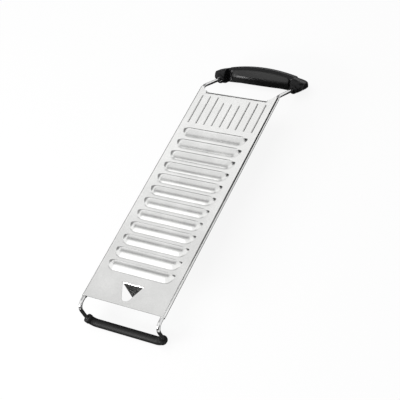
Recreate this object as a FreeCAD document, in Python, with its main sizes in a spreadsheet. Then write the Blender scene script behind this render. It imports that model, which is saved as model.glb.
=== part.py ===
import FreeCAD, Part
import os
from math import pi

import Sketcher
from FreeCAD import Placement, Rotation, Vector

# A hand-held slicing plate: louvred sheet, wire frame, rubber foot and bow handle.
# Millimetres. The pieces are drawn in the plate's own frame: X across the plate from its centre
# line, Y up the plate from its lower edge, Z out of the cutting side, with Z 0 on the sheet's top.
# The rest placement then lays all of them on the table, on the foot and the handle.

doc = FreeCAD.newDocument("hand_slicer")
sheet = doc.addObject("Spreadsheet::Sheet", "sizes")

SIZES = {
    # The sheet and its curled sides
    "plate_width": 104.0,
    "plate_length": 300.0,
    "sheet_thickness": 0.6,
    "roll_wall": 0.65,
    "roll_seam": 0.5,
    # The turned-down edge at the handle end
    "hem_setback": 6.0,
    "hem_inset": 12.0,
    "hem_radius": 4.0,
    "hem_flange": 2.0,
    "corner_radius": 8.0,
    # The louvers, counted from the foot
    "louver_count": 12,
    "louver_pitch": 17.0,
    "first_lip": 48.8,
    "louver_margin": 10.0,
    "lip_height": 3.0,
    "hood_radius": 25.0,
    # The ribs between the louvers and the hem
    "rib_count": 9,
    "short_ribs": 3,
    "rib_margin": 10.24,
    "rib_gap": 8.0,
    "rib_setback": 7.4,
    "short_rib_setback": 14.7,
    "rib_width": 1.8,
    "rib_height": 0.6,
    # The triangular opening and its tongue
    "opening_top": 27.2,
    "opening_width": 27.8,
    "opening_tip": 5.6,
    "tip_radius": 6.0,
    "tongue_angle": 70.0,
    "tongue_gap": 0.3,
    # The frame wire
    "wire_radius": 2.0,
    "wire_clearance": 0.05,
    "foot_reach": 13.2,
    "foot_drop": 32.0,
    "foot_bend": 8.0,
    "foot_corner": 12.0,
    "leg_run": 3.0,
    "handle_slope": 35.8,
    "handle_bend": 12.0,
    "wire_entry": 56.0,
    # The rubber sleeve on the foot
    "sleeve_radius": 4.6,
    "sleeve_clearance": 0.1,
    "sleeve_turn": 68.0,
    # The bow handle, measured along and across the sloping wire ends
    "handle_overhang": 8.5,
    "handle_depth": 24.0,
    "handle_front": 38.0,
    "handle_crown": 16.6,
    "handle_sole": 5.4,
    "arch_radius": 200.0,
    "arch_lift": 1.0,
    "sole_radius": 800.0,
    "upper_edge": 9.0,
    "lower_edge": 5.0,
    "parting_height": 1.5,
    "handle_wall": 2.6,
    "lobe_width": 16.0,
    "keel_run": 14.0,
    "keel_radius": 17.0,
    "grip_setback": 10.5,
    "grip_edge": 3.0,
    "land_depth": 0.5,
    # The grip pad on the front of the bow, between the lobes
    "pad_margin": 5.5,
    "pad_bow": 500.0,
    "pad_drop": 4.0,
    "pad_foot": 2.0,
    "pad_ridge": 4.5,
    "pad_crown": 4.5,
    "pad_seam": 2.4,
    "pad_edge": 1.5,
    "pad_round": 2.5,
}

for row, (alias, value) in enumerate(SIZES.items(), start=1):
    sheet.set(f"A{row}", alias)
    sheet.set(f"B{row}", str(value))
    sheet.setAlias(f"B{row}", alias)

# Places worked out from the sizes, with the angles in degrees
places = doc.addObject("Spreadsheet::Sheet", "places")

FORMULAS = {
    "hem_line": "sizes.plate_length - sizes.hem_setback",
    "hem_width": "sizes.plate_width - 2 * sizes.hem_inset",
    "louver_width": "sizes.plate_width - 2 * sizes.louver_margin",
    "last_lip": "sizes.first_lip + (sizes.louver_count - 1) * sizes.louver_pitch",
    "rib_pitch": "(sizes.plate_width - 2 * sizes.rib_margin) / (sizes.rib_count - 1)",
    "rib_start": "last_lip + sizes.rib_gap",
    "rib_end": "hem_line - sizes.rib_setback",
    "short_rib_end": "hem_line - sizes.short_rib_setback",
    "handle_start": "sizes.plate_length + sizes.leg_run",
    "handle_length": "sizes.plate_width + 2 * sizes.handle_overhang",
    "roll_bore": "sizes.wire_radius + sizes.wire_clearance",
    "roll_radius": "sizes.wire_radius + sizes.wire_clearance + sizes.roll_wall",
    "leg_side": "sizes.plate_width / 2 - roll_radius",
    "leg_depth": "roll_radius",
    "hood_reach": "sqrt(sizes.hood_radius^2 - (sizes.hood_radius - sizes.lip_height)^2)",
    "hood_straight": "louver_width - 2 * hood_reach",
    "rib_radius": "(sizes.rib_width^2 / 4 + sizes.rib_height^2) / (2 * sizes.rib_height)",
    "bend_run": "sizes.handle_bend * tan(sizes.handle_slope / 2)",
    "handle_middle": "sizes.handle_front + sizes.handle_depth / 2",
    "lobe_round": "sizes.handle_depth / 2",
    "bow_straight": "handle_length - sizes.handle_depth",
    "grip_width": "handle_length - 2 * sizes.lobe_width",
    "grip_front": "sizes.handle_front + sizes.grip_setback",
    "keel_side": "handle_length / 2 - sizes.keel_run",
    "pad_top": "sizes.handle_crown - sizes.pad_seam",
    # The table touches the sleeve below and the sole's rounded back edge above
    "touch_out": "sizes.handle_front + sizes.handle_depth - sizes.lower_edge",
    "touch_up": "sizes.lower_edge - sizes.handle_sole",
    "touch_round": "sizes.lower_edge - sizes.land_depth",
    "heel_y": "handle_start + touch_out * cos(sizes.handle_slope)"
              " + touch_up * sin(sizes.handle_slope)",
    "heel_z": "-leg_depth - touch_out * sin(sizes.handle_slope)"
              " + touch_up * cos(sizes.handle_slope)",
    "span_y": "heel_y + sizes.foot_reach",
    "span_z": "heel_z + sizes.foot_drop",
    "span": "sqrt(span_y^2 + span_z^2)",
    "tilt": "(asin((touch_round - sizes.sleeve_radius) / span) - atan(span_z / span_y)) / 1 deg",
    "lift": "sizes.sleeve_radius + sizes.foot_drop * cos(tilt) + sizes.foot_reach * sin(tilt)",
    "lean": "sizes.handle_slope - tilt",
    # Where the handle's frame lies once the part is on the table
    "handle_y": "handle_start * cos(tilt) + leg_depth * sin(tilt)",
    "handle_z": "handle_start * sin(tilt) - leg_depth * cos(tilt) + lift",
    "front_y": "sizes.foot_drop * sin(tilt) - sizes.foot_reach * cos(tilt) - sizes.sleeve_radius",
    "back_y": "handle_y + (sizes.handle_front + sizes.handle_depth - sizes.upper_edge) * cos(lean)"
              " + (sizes.handle_crown - sizes.upper_edge) * sin(lean) + sizes.upper_edge",
    "shift": "-(front_y + back_y) / 2",
}

for row, (alias, formula) in enumerate(FORMULAS.items(), start=1):
    places.set(f"A{row}", alias)
    places.set(f"B{row}", "=" + formula)
    places.setAlias(f"B{row}", alias)
doc.recompute()

X_AXIS = Vector(1, 0, 0)
Y_AXIS = Vector(0, 1, 0)
Z_AXIS = Vector(0, 0, 1)
ALONG_X = Rotation(Y_AXIS, 90)
ALONG_Y = Rotation(X_AXIS, -90)
ALONG_Z = Rotation()


# A torus turns about its own Z axis from its own X axis; these rotations lay the turn in place


def turned(x_to, y_to):
    """The rotation that takes X to x_to and Y to y_to."""
    return Rotation(x_to, y_to, x_to.cross(y_to), "XYZ")


TURN_TO_HANDLE = turned(Z_AXIS, Y_AXIS)
TURN_TO_FOOT = turned(Z_AXIS, -Y_AXIS)
CORNER = {"left": turned(-X_AXIS, -Z_AXIS), "right": turned(X_AXIS, -Z_AXIS)}
SLEEVE_END = {"left": turned(-Z_AXIS, -X_AXIS), "right": turned(-Z_AXIS, X_AXIS)}


def size(alias):
    """A driving size as a number."""
    return float(sheet.get(alias))


def place(alias):
    """A worked-out place as a plain number."""
    value = places.get(alias)
    return float(getattr(value, "Value", value))


def bound(kind, name, rotation=ALONG_Z, **expressions):
    """An object of the document whose sizes and position follow the sheets."""
    piece = doc.addObject(kind, name)
    piece.Placement = Placement(Vector(), rotation)
    for key, expression in expressions.items():
        prop = {"x": "Placement.Base.x", "y": "Placement.Base.y", "z": "Placement.Base.z"}.get(key, key)
        piece.setExpression(prop, expression)
    return piece


def box(name, length, width, height, x="0", y="0", z="0"):
    return bound("Part::Box", name, Length=length, Width=width, Height=height, x=x, y=y, z=z)


def rod(name, radius, length, rotation, x="0", y="0", z="0"):
    return bound("Part::Cylinder", name, rotation, Radius=radius, Height=length, x=x, y=y, z=z)


def ball(name, radius, x="0", y="0", z="0"):
    return bound("Part::Sphere", name, Radius=radius, x=x, y=y, z=z)


def bend(name, radius, section, turn, rotation, x="0", y="0", z="0"):
    return bound("Part::Torus", name, rotation, Radius1=radius, Radius2=section, Angle3=turn, x=x, y=y, z=z)


def fuse(name, pieces):
    joined = doc.addObject("Part::MultiFuse", name)
    joined.Shapes = pieces
    joined.Refine = True
    return joined


def cut(name, base, tool):
    rest = doc.addObject("Part::Cut", name)
    rest.Base = base
    rest.Tool = tool
    return rest


def common(name, pieces):
    shared = doc.addObject("Part::MultiCommon", name)
    shared.Shapes = pieces
    return shared


def runs_lengthwise(edge):
    """Whether a straight edge of the handle runs from lobe to lobe."""
    return abs(edge.tangentAt(edge.FirstParameter).dot(X_AXIS)) > 0.9


def round_edges(name, base, wanted):
    """Fillets on the edges for which wanted(edge) gives a radius."""
    doc.recompute()
    rounded = doc.addObject("Part::Fillet", name)
    rounded.Base = base
    edges = []
    for number, edge in enumerate(base.Shape.Edges, start=1):
        radius = wanted(edge)
        if radius:
            edges.append((number, radius, radius))
    rounded.Edges = edges
    return rounded


# The triangular outline, used for the opening and for the tongue cut from it


def triangle_body(name, clearance, depth):
    """A body padded from the outline: a straight top edge and two sides that meet round the tip."""
    body = doc.addObject("PartDesign::Body", name)
    outline = body.newObject("Sketcher::SketchObject", name + "_outline")
    outline.AttachmentSupport = [(f, "") for f in body.Origin.OriginFeatures if f.Role == "XY_Plane"]
    outline.MapMode = "FlatFace"
    half_top = size("opening_width") / 2
    top = size("opening_top")
    radius = size("tip_radius")
    centre = size("opening_tip") + radius
    right, left = Vector(half_top, top, 0), Vector(-half_top, top, 0)
    outline.addGeometry(Part.LineSegment(left, right))
    outline.addGeometry(Part.LineSegment(right, Vector(radius, centre, 0)))
    outline.addGeometry(Part.ArcOfCircle(Part.Circle(Vector(0, centre, 0), Z_AXIS, radius), pi, 2 * pi))
    outline.addGeometry(Part.LineSegment(Vector(-radius, centre, 0), left))
    top_line, right_line, tip_arc, left_line = range(4)
    start, end, middle = 1, 2, 3
    origin, y_axis = -1, -2
    rule = Sketcher.Constraint
    outline.addConstraint([
        rule("Coincident", top_line, end, right_line, start),
        rule("Coincident", left_line, end, top_line, start),
        rule("Tangent", right_line, end, tip_arc, end),
        rule("Tangent", left_line, start, tip_arc, start),
        rule("Symmetric", top_line, start, top_line, end, y_axis),
        rule("PointOnObject", tip_arc, middle, y_axis),
    ])
    driven = [
        (rule("DistanceX", top_line, start, top_line, end, 2 * half_top),
         f"sizes.opening_width - 2 * {clearance}"),
        (rule("DistanceY", origin, start, top_line, start, top), "sizes.opening_top"),
        (rule("DistanceY", origin, start, tip_arc, middle, centre), "sizes.opening_tip + sizes.tip_radius"),
        (rule("Radius", tip_arc, radius), f"sizes.tip_radius - {clearance}"),
    ]
    for constraint, expression in driven:
        number = outline.addConstraint(constraint)
        outline.setExpression(f"Constraints[{number}]", expression)
    pad = body.newObject("PartDesign::Pad", name + "_pad")
    pad.Profile = outline
    pad.setExpression("Length", depth)
    body.Tip = pad
    return body


# Slicing plate: flat sheet between the two curls


def flat_sheet():
    """The sheet up to the hem, with the two corners that run on to the ends of the curls."""
    panel = box("panel", "2 * places.leg_side", "places.hem_line - sizes.hem_radius", "sizes.sheet_thickness",
                x="-places.leg_side", z="-sizes.sheet_thickness")
    pieces = [panel]
    for side, sign in (("left", "-"), ("right", "")):
        corner_start = "places.hem_width / 2 - 1"
        corner_width = f"(places.leg_side - ({corner_start}))"
        edge = "-places.leg_side" if sign else corner_start
        corner = box(f"{side}_corner", corner_width, "sizes.plate_length - places.hem_line + sizes.hem_radius",
                     "sizes.sheet_thickness", x=edge, y="places.hem_line - sizes.hem_radius",
                     z="-sizes.sheet_thickness")
        scoop = rod(f"{side}_scoop", "sizes.corner_radius", "4 * sizes.sheet_thickness", ALONG_Z,
                    x=f"{sign}(places.leg_side - places.roll_radius - sizes.corner_radius)",
                    y="places.hem_line + sizes.corner_radius", z="-2 * sizes.sheet_thickness")
        pieces.append(cut(f"{side}_gusset", corner, scoop))
    return pieces


def curls():
    """The side edges, rolled round the wire with a seam on the underside."""
    pieces = []
    for side, sign in (("left", "-"), ("right", "")):
        outer = rod(f"{side}_curl_outer", "places.roll_radius", "sizes.plate_length", ALONG_Y,
                    x=f"{sign}places.leg_side", z="-places.leg_depth")
        seam_x = "-places.leg_side" if sign else "places.leg_side - 2 * places.roll_radius"
        seam = box(f"{side}_curl_seam", "2 * places.roll_radius", "sizes.plate_length", "sizes.roll_seam",
                   x=seam_x, z="-places.leg_depth - places.roll_radius / 2")
        pieces.append(cut(f"{side}_curl", outer, seam))
    return pieces


def hem():
    """The handle end of the sheet, bent down in a quarter turn with a short flange."""
    outer = bound("Part::Cylinder", "hem_outer", ALONG_X, Radius="sizes.hem_radius",
                  Height="places.hem_width", x="-places.hem_width / 2",
                  y="places.hem_line - sizes.hem_radius", z="-sizes.hem_radius")
    inner = bound("Part::Cylinder", "hem_inner", ALONG_X,
                  Radius="sizes.hem_radius - sizes.sheet_thickness", Height="places.hem_width",
                  x="-places.hem_width / 2", y="places.hem_line - sizes.hem_radius", z="-sizes.hem_radius")
    quarter = box("hem_quarter", "places.hem_width", "sizes.hem_radius", "sizes.hem_radius",
                  x="-places.hem_width / 2", y="places.hem_line - sizes.hem_radius", z="-sizes.hem_radius")
    curve = common("hem_curve", [cut("hem_tube", outer, inner), quarter])
    flange = box("hem_flange_strip", "places.hem_width", "sizes.sheet_thickness", "sizes.hem_flange",
                 x="-places.hem_width / 2", y="places.hem_line - sizes.sheet_thickness",
                 z="-sizes.hem_radius - sizes.hem_flange")
    return [curve, flange]


def hood_form(name, shrink, lip):
    """A long shallow dome: a cylinder across the plate with a sphere at each end."""
    radius = f"sizes.hood_radius - {shrink}"
    depth = "sizes.lip_height - sizes.hood_radius"
    bar = rod(name + "_bar", radius, "places.hood_straight", ALONG_X,
              x="-places.hood_straight / 2", y=lip, z=depth)
    left = ball(name + "_left", radius, x="-places.hood_straight / 2", y=lip, z=depth)
    right = ball(name + "_right", radius, x="places.hood_straight / 2", y=lip, z=depth)
    return fuse(name, [bar, left, right])


def louver(number):
    """One hood, open towards the handle, and the window of the sheet that it was pressed from."""
    lip = f"(sizes.first_lip + {number} * sizes.louver_pitch)"
    outer = hood_form(f"hood_{number}", "0", lip)
    inner = hood_form(f"hollow_{number}", "sizes.sheet_thickness", lip)
    room = box(f"hood_room_{number}", "places.louver_width + 2", "places.hood_reach + 1",
               "sizes.lip_height + sizes.sheet_thickness", x="-places.louver_width / 2 - 1",
               y=f"{lip} - places.hood_reach - 1", z="-sizes.sheet_thickness")
    shell = common(f"hood_shell_{number}", [cut(f"hood_skin_{number}", outer, inner), room])
    window = common(f"window_{number}", [inner, room])
    return shell, window


def rib(number):
    """One raised rib with round ends; the middle ones stop short of the bare place under the hem."""
    count, short = int(size("rib_count")), int(size("short_ribs"))
    from_middle = number - (count - 1) / 2
    end = "places.short_rib_end" if abs(from_middle) <= (short - 1) / 2 else "places.rib_end"
    x = f"{from_middle} * places.rib_pitch"
    z = "sizes.rib_height - places.rib_radius"
    first = "places.rib_start + places.rib_radius"
    last = f"{end} - places.rib_radius"
    ridge = rod(f"rib_ridge_{number}", "places.rib_radius", f"({last}) - ({first})", ALONG_Y, x=x, y=first, z=z)
    near = ball(f"rib_near_{number}", "places.rib_radius", x=x, y=first, z=z)
    far = ball(f"rib_far_{number}", "places.rib_radius", x=x, y=last, z=z)
    whole = fuse(f"rib_whole_{number}", [ridge, near, far])
    room = box(f"rib_room_{number}", "2 * places.rib_radius", f"{end} - places.rib_start + 2",
               "sizes.rib_height + sizes.sheet_thickness / 2", x=f"{x} - places.rib_radius",
               y="places.rib_start - 1", z="-sizes.sheet_thickness / 2")
    return common(f"rib_{number}", [whole, room])


def tongue():
    """The flap of the opening, bent down about the opening's top edge."""
    flap = triangle_body("flap", "sizes.tongue_gap", "sizes.sheet_thickness")
    # The body turns about its own X axis, which is moved so that the fold stays in place
    flap.Placement = Placement(Vector(), Rotation(X_AXIS, 1))
    flap.setExpression("Placement.Rotation.Angle", "sizes.tongue_angle")
    flap.setExpression("Placement.Base.y", "sizes.opening_top * (1 - cos(sizes.tongue_angle))"
                                           " + 0.5 * sizes.sheet_thickness * sin(sizes.tongue_angle)")
    flap.setExpression("Placement.Base.z", "-sizes.opening_top * sin(sizes.tongue_angle)"
                                           " - 0.5 * sizes.sheet_thickness * (1 + cos(sizes.tongue_angle))")
    fold = rod("fold", "sizes.sheet_thickness / 2", "sizes.opening_width - 2 * sizes.tongue_gap", ALONG_X,
               x="sizes.tongue_gap - sizes.opening_width / 2", y="sizes.opening_top",
               z="-sizes.sheet_thickness / 2")
    return [flap, fold]


def slicing_plate():
    blank = fuse("blank", flat_sheet() + curls() + hem())
    bores = []
    for side, sign in (("left", "-"), ("right", "")):
        bores.append(rod(f"{side}_bore", "places.roll_bore", "sizes.plate_length + 2", ALONG_Y,
                         x=f"{sign}places.leg_side", y="-1", z="-places.leg_depth"))
    opening = triangle_body("opening", "0", "4 * sizes.sheet_thickness")
    opening.setExpression("Placement.Base.z", "-2 * sizes.sheet_thickness")
    louvers = [louver(number) for number in range(int(size("louver_count")))]
    windows = fuse("windows", [window for _, window in louvers])
    openings = fuse("openings", bores + [opening, windows])
    pierced = cut("pierced", blank, openings)
    ribs = [rib(number) for number in range(int(size("rib_count")))]
    return fuse("slicing_plate", [pierced] + [shell for shell, _ in louvers] + ribs + tongue())


# Wire frame: one wire, bent from straight runs and quarter turns


def wire_frame():
    pieces = []
    foot_y = "-sizes.foot_reach"
    for side, sign, inward in (("left", "-", 1), ("right", "", -1)):
        x = f"{sign}places.leg_side"
        leg_start = "sizes.foot_bend - sizes.foot_reach"
        leg_end = "places.handle_start - places.bend_run"
        pieces.append(rod(f"{side}_leg", "sizes.wire_radius", f"({leg_end}) - ({leg_start})", ALONG_Y,
                          x=x, y=leg_start, z="-places.leg_depth"))
        # Each turn starts where the run before it ends
        handle_turn = bend(f"{side}_handle_turn", "sizes.handle_bend", "sizes.wire_radius",
                           "sizes.handle_slope", TURN_TO_HANDLE, x=x, y=leg_end,
                           z="-places.leg_depth - sizes.handle_bend")
        entry = rod(f"{side}_entry", "sizes.wire_radius", "sizes.wire_entry - places.bend_run",
                    ALONG_Y, x=x,
                    y="places.handle_start + places.bend_run * cos(sizes.handle_slope)",
                    z="-places.leg_depth - places.bend_run * sin(sizes.handle_slope)")
        entry.setExpression("Placement.Rotation.Angle", "-90 - sizes.handle_slope")
        foot_turn = bend(f"{side}_foot_turn", "sizes.foot_bend", "sizes.wire_radius", "90",
                         TURN_TO_FOOT, x=x, y=leg_start, z="-places.leg_depth - sizes.foot_bend")
        drop_top = "-places.leg_depth - sizes.foot_bend"
        drop_bottom = "-sizes.foot_drop + sizes.foot_corner"
        drop = rod(f"{side}_drop", "sizes.wire_radius", f"{drop_top} - ({drop_bottom})", ALONG_Z,
                   x=x, y=foot_y, z=drop_bottom)
        corner = bend(f"{side}_foot_corner", "sizes.foot_corner", "sizes.wire_radius", "90",
                      CORNER[side], x=f"{x} + {inward} * sizes.foot_corner", y=foot_y, z=drop_bottom)
        pieces += [handle_turn, entry, foot_turn, drop, corner]
    cross = "places.leg_side - sizes.foot_corner"
    pieces.append(rod("cross_bar", "sizes.wire_radius", f"2 * ({cross})", ALONG_X,
                      x=f"-({cross})", y=foot_y, z="-sizes.foot_drop"))
    return fuse("wire_frame", pieces)


def foot_sleeve():
    """The rubber sleeve: a tube over the cross bar that turns up with the wire at both ends."""
    cross = "places.leg_side - sizes.foot_corner"
    solids = []
    for name, radius, overrun in (("outside", "sizes.sleeve_radius", "0"),
                                  ("inside", "sizes.wire_radius + sizes.sleeve_clearance", "1")):
        parts = [rod(f"sleeve_bar_{name}", radius, f"2 * ({cross})", ALONG_X, x=f"-({cross})",
                     y="-sizes.foot_reach", z="-sizes.foot_drop")]
        for side, sign in (("left", "-"), ("right", "")):
            parts.append(bend(f"{side}_sleeve_{name}", "sizes.foot_corner", radius,
                              f"sizes.sleeve_turn + {overrun}", SLEEVE_END[side], x=f"{sign}({cross})",
                              y="-sizes.foot_reach", z="-sizes.foot_drop + sizes.foot_corner"))
        solids.append(fuse(f"sleeve_{name}", parts))
    return cut("foot_sleeve", *solids)


# Bow handle, in its own frame: Y out along the sloping wire ends, Z up from their centre line


def bow_bar(name, width, front, depth, front_round):
    """A bar along the bow with its four lengthwise edges rounded, the front ones by front_round."""
    bar = box(f"{name}_bar", width, depth, "sizes.handle_crown + sizes.handle_sole",
              x=f"-{width} / 2", y=front, z="-sizes.handle_sole")
    doc.recompute()
    middle = bar.Shape.CenterOfMass

    def edge_radius(edge):
        if not runs_lengthwise(edge):
            return 0
        if front_round and edge.CenterOfMass.y < middle.y:
            return front_round
        return size("upper_edge") if edge.CenterOfMass.z > middle.z else size("lower_edge")

    return round_edges(f"{name}_rounded", bar, edge_radius)


def bow_arch(name, below):
    """The long arch over the handle, a given distance below the crown."""
    return rod(name, f"sizes.arch_radius - {below}", "sizes.handle_depth", ALONG_Y,
               y="sizes.handle_front", z="sizes.handle_crown - sizes.arch_radius")


def bow_keel():
    """The outline of the handle seen along the wires, rounded up from below at both ends."""
    depth = "sizes.handle_depth"
    front = "sizes.handle_front"
    middle = box("keel_middle", "2 * places.keel_side", depth, "sizes.handle_crown + sizes.handle_sole",
                 x="-places.keel_side", y=front, z="-sizes.handle_sole")
    ends = [rod(f"{side}_keel", "sizes.keel_radius", depth, ALONG_Y, x=f"{sign}places.keel_side", y=front,
                z="sizes.keel_radius - sizes.handle_sole")
            for side, sign in (("left", "-"), ("right", ""))]
    return fuse("bow_keel", [middle] + ends)


def bow_form():
    """The whole bow: two lobes with round ends in plan, and the grip set back between them."""
    height = "sizes.handle_crown + sizes.handle_sole"
    bar = bow_bar("bow", "places.handle_length", "sizes.handle_front", "sizes.handle_depth", 0)
    middle = box("bow_plan_middle", "places.bow_straight", "sizes.handle_depth", height,
                 x="-places.bow_straight / 2", y="sizes.handle_front", z="-sizes.handle_sole")
    ends = [rod(f"bow_plan_{side}", "places.lobe_round", height, ALONG_Z,
                x=f"{sign}places.bow_straight / 2", y="places.handle_middle", z="-sizes.handle_sole")
            for side, sign in (("left", "-"), ("right", ""))]
    plan = fuse("bow_plan", [middle] + ends)
    between = box("between_lobes", "places.grip_width", "sizes.handle_depth", height,
                  x="-places.grip_width / 2", y="sizes.handle_front", z="-sizes.handle_sole")
    lobes = cut("lobes", common("bow_lobed", [bar, plan]), between)
    grip = bow_bar("grip", "places.grip_width", "places.grip_front",
                   "sizes.handle_depth - sizes.grip_setback", size("grip_edge"))
    whole = common("bow_whole", [fuse("lobes_and_grip", [lobes, grip]), bow_arch("bow_crown", "0"), bow_keel()])
    relief = rod("sole_relief", "sizes.sole_radius", "sizes.handle_depth", ALONG_Y,
                 y="sizes.handle_front", z="sizes.arch_lift - sizes.handle_sole - sizes.sole_radius")
    depth = "sizes.handle_depth"
    reach = "sizes.handle_front / 2"
    table = box("table_room", "2 * places.handle_length", f"2 * {depth}", depth, x="-places.handle_length",
                y=f"(places.handle_z + {depth}) * sin(places.lean) + {reach} * cos(places.lean)",
                z=f"{reach} * sin(places.lean) - (places.handle_z + {depth}) * cos(places.lean)")
    table.Placement = Placement(Vector(), Rotation(X_AXIS, 1))
    table.setExpression("Placement.Rotation.Angle", "places.lean")
    return cut("bow", whole, fuse("bow_cuts", [relief, table]))


def bow_hollow():
    """The space inside the shells, a wall's thickness from the crown, the front and the back."""
    height = "sizes.handle_crown + sizes.handle_sole - 2 * sizes.handle_wall"
    room = box("hollow_room", "places.grip_width - 2 * sizes.handle_wall",
               "sizes.handle_depth - sizes.grip_setback - 2 * sizes.handle_wall", height,
               x="sizes.handle_wall - places.grip_width / 2",
               y="places.grip_front + sizes.handle_wall",
               z="sizes.handle_wall + sizes.arch_lift - sizes.handle_sole")
    doc.recompute()
    # The two upper fillets have to fit side by side in the room
    widest = 0.45 * room.Width.Value

    def upper_radius(edge):
        wanted = runs_lengthwise(edge) and edge.CenterOfMass.z > 0
        return min(size("upper_edge") - size("handle_wall"), widest) if wanted else 0

    rounded = round_edges("hollow_rounded", room, upper_radius)
    sockets = [rod(f"{side}_socket", "places.roll_bore", "sizes.wire_entry - sizes.handle_front + 2", ALONG_Y,
                   x=f"{sign}places.leg_side", y="sizes.handle_front - 1")
               for side, sign in (("left", "-"), ("right", ""))]
    arch = bow_arch("hollow_arch", "sizes.handle_wall")
    return fuse("bow_inside", [common("hollow", [rounded, arch])] + sockets)


def handle_shells():
    """The bow parted along its length into an upper and a lower shell."""
    shell = cut("bow_shell", bow_form(), bow_hollow())
    above = box("above_parting", "places.handle_length + 2", "sizes.handle_depth + 2", "sizes.handle_crown",
                x="-places.handle_length / 2 - 1", y="sizes.handle_front - 1", z="sizes.parting_height")
    return common("handle_upper_shell", [shell, above]), cut("handle_lower_shell", shell, above)


def pad_bar():
    """A body with the pad's section: a foot, a ridge, and a face that leans back up to the seam."""
    body = doc.addObject("PartDesign::Body", "pad_bar")
    section = body.newObject("Sketcher::SketchObject", "pad_section")
    section.AttachmentSupport = [(f, "") for f in body.Origin.OriginFeatures if f.Role == "YZ_Plane"]
    section.MapMode = "FlatFace"
    corners = [
        ("places.grip_front", "-sizes.pad_drop"),
        ("places.grip_front - sizes.pad_foot", "-sizes.pad_drop"),
        ("places.grip_front - sizes.pad_crown", "sizes.pad_ridge"),
        ("places.grip_front - sizes.pad_edge", "places.pad_top"),
        ("places.grip_front", "places.pad_top"),
    ]
    back, drop, top = place("grip_front"), -size("pad_drop"), place("pad_top")
    points = [
        Vector(back, drop, 0),
        Vector(back - size("pad_foot"), drop, 0),
        Vector(back - size("pad_crown"), size("pad_ridge"), 0),
        Vector(back - size("pad_edge"), top, 0),
        Vector(back, top, 0),
    ]
    count = len(points)
    start, end, origin = 1, 2, -1
    for number in range(count):
        section.addGeometry(Part.LineSegment(points[number], points[(number + 1) % count]))
    for number in range(count):
        section.addConstraint(Sketcher.Constraint("Coincident", number, end, (number + 1) % count, start))
    for number, (out, up) in enumerate(corners):
        for direction, value, expression in (("DistanceX", points[number].x, out),
                                             ("DistanceY", points[number].y, up)):
            rule = section.addConstraint(Sketcher.Constraint(direction, origin, start, number, start, value))
            section.setExpression(f"Constraints[{rule}]", expression)
    pad = body.newObject("PartDesign::Pad", "pad_length")
    pad.Profile = section
    pad.Midplane = True
    pad.setExpression("Length", "places.grip_width - 2 * sizes.pad_margin")
    body.Tip = pad
    return body


def grip_pad():
    """The ridged pad on the flat front of the grip, its top edge under the arch of the crown."""
    bar = pad_bar()

    def ridge_radius(edge):
        on_ridge = edge.CenterOfMass.y < place("grip_front") - size("pad_crown") + 0.1
        return size("pad_round") if runs_lengthwise(edge) and on_ridge else 0

    ridged = round_edges("pad_ridged", bar, ridge_radius)
    bowed = rod("pad_bow_form", "sizes.pad_bow", "2 * sizes.handle_crown", ALONG_Z,
                y="places.grip_front - sizes.pad_crown + sizes.pad_bow", z="-sizes.handle_crown")
    return common("grip_pad", [ridged, bowed, bow_arch("pad_arch", "sizes.pad_seam")])


# The sub-parts, each placed as it lies on the table

plate_pieces = [slicing_plate(), wire_frame(), foot_sleeve()]
handle_pieces = [*handle_shells(), grip_pad()]
doc.recompute()

for piece in plate_pieces:
    piece.Placement = Placement(Vector(), Rotation(X_AXIS, 1))
    piece.setExpression("Placement.Rotation.Angle", "places.tilt")
    piece.setExpression("Placement.Base.y", "places.shift")
    piece.setExpression("Placement.Base.z", "places.lift")
for piece in handle_pieces:
    piece.Placement = Placement(Vector(), Rotation(X_AXIS, 1))
    piece.setExpression("Placement.Rotation.Angle", "-places.lean")
    piece.setExpression("Placement.Base.y", "places.handle_y + places.shift")
    piece.setExpression("Placement.Base.z", "places.handle_z")
doc.recompute()

sub_parts = plate_pieces + handle_pieces
for piece in sub_parts:
    piece.Label = piece.Name

failed = [o.Name for o in doc.Objects if "Invalid" in o.State or "Error" in o.State]
if failed:
    raise RuntimeError("objects that failed to recompute: " + ", ".join(failed))
for piece in sub_parts:
    if piece.Shape.isNull() or not piece.Shape.isValid() or len(piece.Shape.Solids) != 1:
        raise RuntimeError(f"{piece.Label} is not one valid solid: {len(piece.Shape.Solids)} solids")

os.makedirs("parts", exist_ok=True)
for piece in sub_parts:
    piece.Shape.exportStep(f"parts/{piece.Label}.step")
    bounds = piece.Shape.BoundBox
    print(f"{piece.Label}: volume {piece.Shape.Volume:.1f}, X {bounds.XMin:.2f} {bounds.XMax:.2f},"
          f" Y {bounds.YMin:.2f} {bounds.YMax:.2f}, Z {bounds.ZMin:.2f} {bounds.ZMax:.2f}")
print(f"tilt {place('tilt'):.4f}, lift {place('lift'):.3f}, shift {place('shift'):.3f}")
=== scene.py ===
from math import asin, atan2, ceil, cos, hypot, pi, radians, sin, sqrt, tan

import bmesh
import bpy
from bpy.props import FloatProperty, FloatVectorProperty, PointerProperty
from mathutils import Matrix, Vector


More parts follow.
